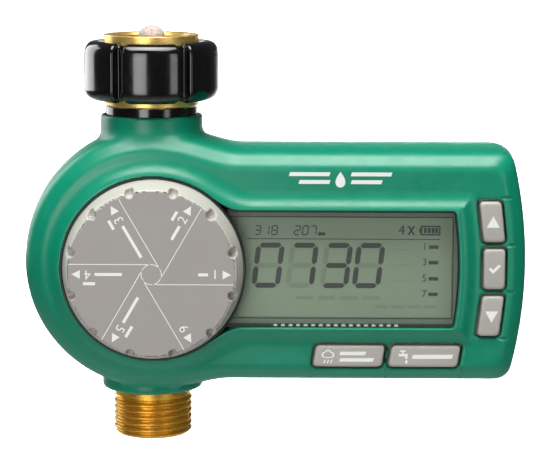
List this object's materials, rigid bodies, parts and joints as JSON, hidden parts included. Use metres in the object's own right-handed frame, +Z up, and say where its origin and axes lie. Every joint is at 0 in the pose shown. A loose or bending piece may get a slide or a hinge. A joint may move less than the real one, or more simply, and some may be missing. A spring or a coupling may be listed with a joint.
{
  "type": "hose-end irrigation controller",
  "caption": "Battery-powered tap timer: green case with a rotary dial, segment display and buttons, a swivel inlet collar above and a threaded brass outlet below.",
  "frame": {"origin": "centre of the rubber sealing face in the inlet, on the vertical water axis", "axes": "+Z up along the water axis, towards the tap; +X along the case towards the buttons; -Y is the front, with the dial and display"},
  "size_m": [0.1698, 0.0559, 0.1406],
  "materials": {
    "green_shell": "satin moulded green plastic",
    "black_rubber": "black rubber",
    "steel": "plated steel",
    "lens": "clear polished plastic",
    "grey_frame": "dark grey plastic",
    "lcd_face": "grey-green liquid crystal",
    "board_green": "solder mask",
    "black_plastic": "black moulded plastic",
    "grey_dial": "silver-grey moulded plastic",
    "grey_label": "grey printed label",
    "white_plastic": "natural nylon",
    "grey_button": "grey moulded plastic",
    "silicone": "translucent silicone",
    "cell_jacket": "printed metal jacket",
    "wire_jacket": "insulated lead",
    "gloss_black": "glossy black plastic",
    "brass": "bright brass",
    "outlet_brass": "turned brass",
    "strainer": "white plastic mesh",
    "copper_coil": "wound enamelled wire"
  },
  "bodies": {
    "controller": {"front_housing": "green_shell", "rear_housing": "green_shell", "housing_gasket": "black_rubber", "dial_seal": "black_rubber", "tailpiece_seal": "black_rubber", "outlet_seal": "black_rubber", "inlet_washer": "black_rubber", "diaphragm": "black_rubber", "housing_screws": "steel", "board_screws": "steel", "bonnet_screws": "steel", "detent_spring": "steel", "battery_springs": "steel", "battery_contacts": "steel", "diaphragm_spring": "steel", "plunger_spring": "steel", "solenoid_yoke": "steel", "display_lens": "lens", "lcd_frame": "grey_frame", "lcd_glass": "lcd_face", "lcd_pins": "steel", "circuit_board": "board_green", "board_chips": "black_plastic", "contact_pads": "black_plastic", "dial_ring": "black_plastic", "side_keypad": "silicone", "lower_keypad": "silicone", "battery_tray": "black_plastic", "upper_battery": "cell_jacket", "lower_battery": "cell_jacket", "battery_wires": "wire_jacket", "solenoid_wires": "wire_jacket", "inlet_tailpiece": "brass", "outlet_fitting": "outlet_brass", "inlet_filter": "strainer", "valve_body": "black_plastic", "valve_bonnet": "black_plastic", "solenoid_coil": "copper_coil"},
    "swivel": {"swivel_collar": "gloss_black", "swivel_insert": "brass"},
    "dial": {"mode_dial": "grey_dial", "dial_label": "grey_label", "dial_shaft": "white_plastic", "switch_rotor": "white_plastic", "shaft_clip": "steel"},
    "up_key": {"up_button": "grey_button"},
    "ok_key": {"ok_button": "grey_button"},
    "down_key": {"down_button": "grey_button"},
    "cancel_key": {"cancel_button": "grey_button"},
    "water_now_key": {"water_now_button": "grey_button"},
    "cover": {"battery_cover": "green_shell", "cover_gasket": "black_rubber", "cover_screw": "steel"},
    "poppet": {"diaphragm_poppet": "white_plastic"},
    "plunger": {"solenoid_plunger": "steel"}
  },
  "joints": [
    {"name": "swivel_turn", "type": "hinge", "parent": "controller", "child": "swivel", "pos_m": [0, 0, 0], "axis": [0, 0, 1], "continuous": true},
    {"name": "dial_turn", "type": "hinge", "parent": "controller", "child": "dial", "pos_m": [0.0015, -0.03, -0.0652], "axis": [0, 1, 0], "continuous": true},
    {"name": "up_press", "type": "slide", "parent": "controller", "child": "up_key", "axis": [0, 1, 0], "range_m": [0, 0.001], "stiffness_N_per_m": 800},
    {"name": "ok_press", "type": "slide", "parent": "controller", "child": "ok_key", "axis": [0, 1, 0], "range_m": [0, 0.001], "stiffness_N_per_m": 800, "deforming": ["side_keypad"]},
    {"name": "down_press", "type": "slide", "parent": "controller", "child": "down_key", "axis": [0, 1, 0], "range_m": [0, 0.001], "stiffness_N_per_m": 800},
    {"name": "cancel_press", "type": "slide", "parent": "controller", "child": "cancel_key", "axis": [0, 1, 0], "range_m": [0, 0.001], "stiffness_N_per_m": 800, "deforming": ["lower_keypad"]},
    {"name": "water_now_press", "type": "slide", "parent": "controller", "child": "water_now_key", "axis": [0, 1, 0], "range_m": [0, 0.001], "stiffness_N_per_m": 800},
    {"name": "cover_lift", "type": "slide", "parent": "controller", "child": "cover", "axis": [0, 1, 0], "range_m": [0, 0.03]},
    {"name": "poppet_open", "type": "slide", "parent": "controller", "child": "poppet", "axis": [1, 0, 0], "range_m": [0, 0.0025], "stiffness_N_per_m": 600, "springref_m": -0.001, "deforming": ["diaphragm_spring", "diaphragm"]},
    {"name": "plunger_pull", "type": "slide", "parent": "controller", "child": "plunger", "axis": [1, 0, 0], "range_m": [0, 0.002], "stiffness_N_per_m": 300, "springref_m": -0.001, "deforming": ["plunger_spring"]}
  ]
}
